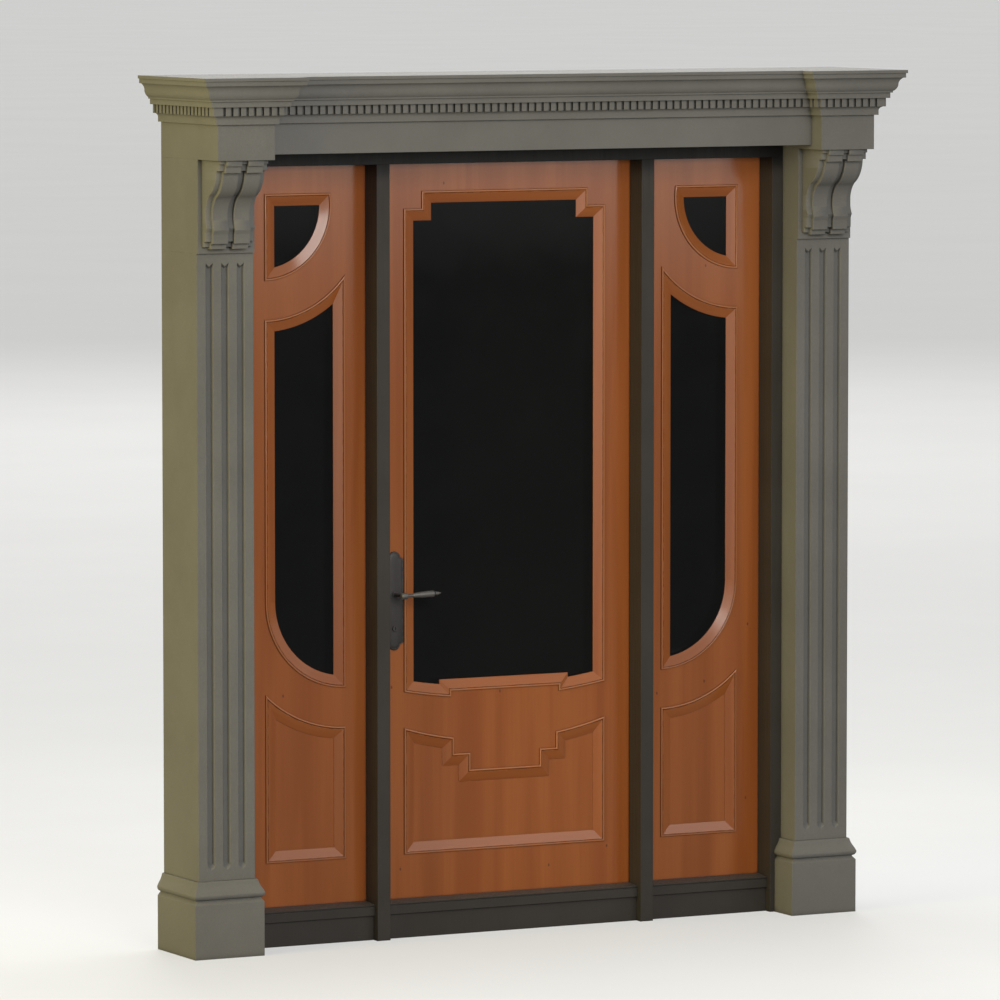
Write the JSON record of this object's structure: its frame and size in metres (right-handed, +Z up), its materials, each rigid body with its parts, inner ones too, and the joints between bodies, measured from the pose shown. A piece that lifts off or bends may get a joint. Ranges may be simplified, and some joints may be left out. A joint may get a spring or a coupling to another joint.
{
  "type": "entrance door with sidelights and stone surround",
  "caption": "Classical stone door surround with fluted piers, consoles and a dentil cornice, framing a glazed wooden entrance door between fixed sidelights.",
  "frame": {"origin": "on the ground, under the back edge of the door sill, midway between the piers", "axes": "+X across the front to the viewer's right, +Y into the building, +Z up"},
  "size_m": [2.234, 0.5148, 2.466],
  "materials": {
    "stone": "fine, lightly mottled cast stone",
    "frame_paint": "dark grey-brown satin paint on timber",
    "varnished_wood": "orange-brown veneer under clear gloss varnish",
    "glass": "dark polished glass",
    "handle_metal": "dark satin metal",
    "hinge_steel": "plain steel"
  },
  "bodies": {
    "surround": {"centre_cornice": "stone", "door_sill_board": "frame_paint", "door_sill_strip": "frame_paint", "frame_hinges": "hinge_steel", "head_rail": "frame_paint", "left_console": "stone", "left_cornice": "stone", "left_frieze_block": "stone", "left_jamb": "frame_paint", "left_light_mouldings": "varnished_wood", "left_mullion": "frame_paint", "left_panel_moulding": "varnished_wood", "left_pier": "stone", "left_pier_head": "stone", "left_plinth": "stone", "left_sidelight_glass": "glass", "left_sidelight_slab": "varnished_wood", "left_sill_board": "frame_paint", "left_sill_strip": "frame_paint", "lintel": "stone", "right_console": "stone", "right_cornice": "stone", "right_frieze_block": "stone", "right_jamb": "frame_paint", "right_light_mouldings": "varnished_wood", "right_mullion": "frame_paint", "right_panel_moulding": "varnished_wood", "right_pier": "stone", "right_pier_head": "stone", "right_plinth": "stone", "right_sidelight_glass": "glass", "right_sidelight_slab": "varnished_wood", "right_sill_board": "frame_paint", "right_sill_strip": "frame_paint"},
    "door": {"door_slab": "varnished_wood", "door_glass": "glass", "door_light_moulding": "varnished_wood", "door_panel_moulding": "varnished_wood", "outer_backplate": "handle_metal", "inner_backplate": "handle_metal", "lock_cylinder": "handle_metal", "door_hinges": "hinge_steel"},
    "lever": {"outer_lever": "handle_metal", "inner_lever": "handle_metal"}
  },
  "joints": [
    {"name": "door_swing", "type": "hinge", "parent": "surround", "child": "door", "pos_m": [0.418, 0.012, 1.16], "axis": [0, 0, -1], "range_deg": [0, 90]},
    {"name": "lever_turn", "type": "hinge", "parent": "door", "child": "lever", "pos_m": [-0.3565, -0.082, 0.982], "axis": [0, 1, 0], "range_deg": [0, 40], "stiffness_Nm_per_rad": 1.5, "springref_deg": -22.92}
  ]
}
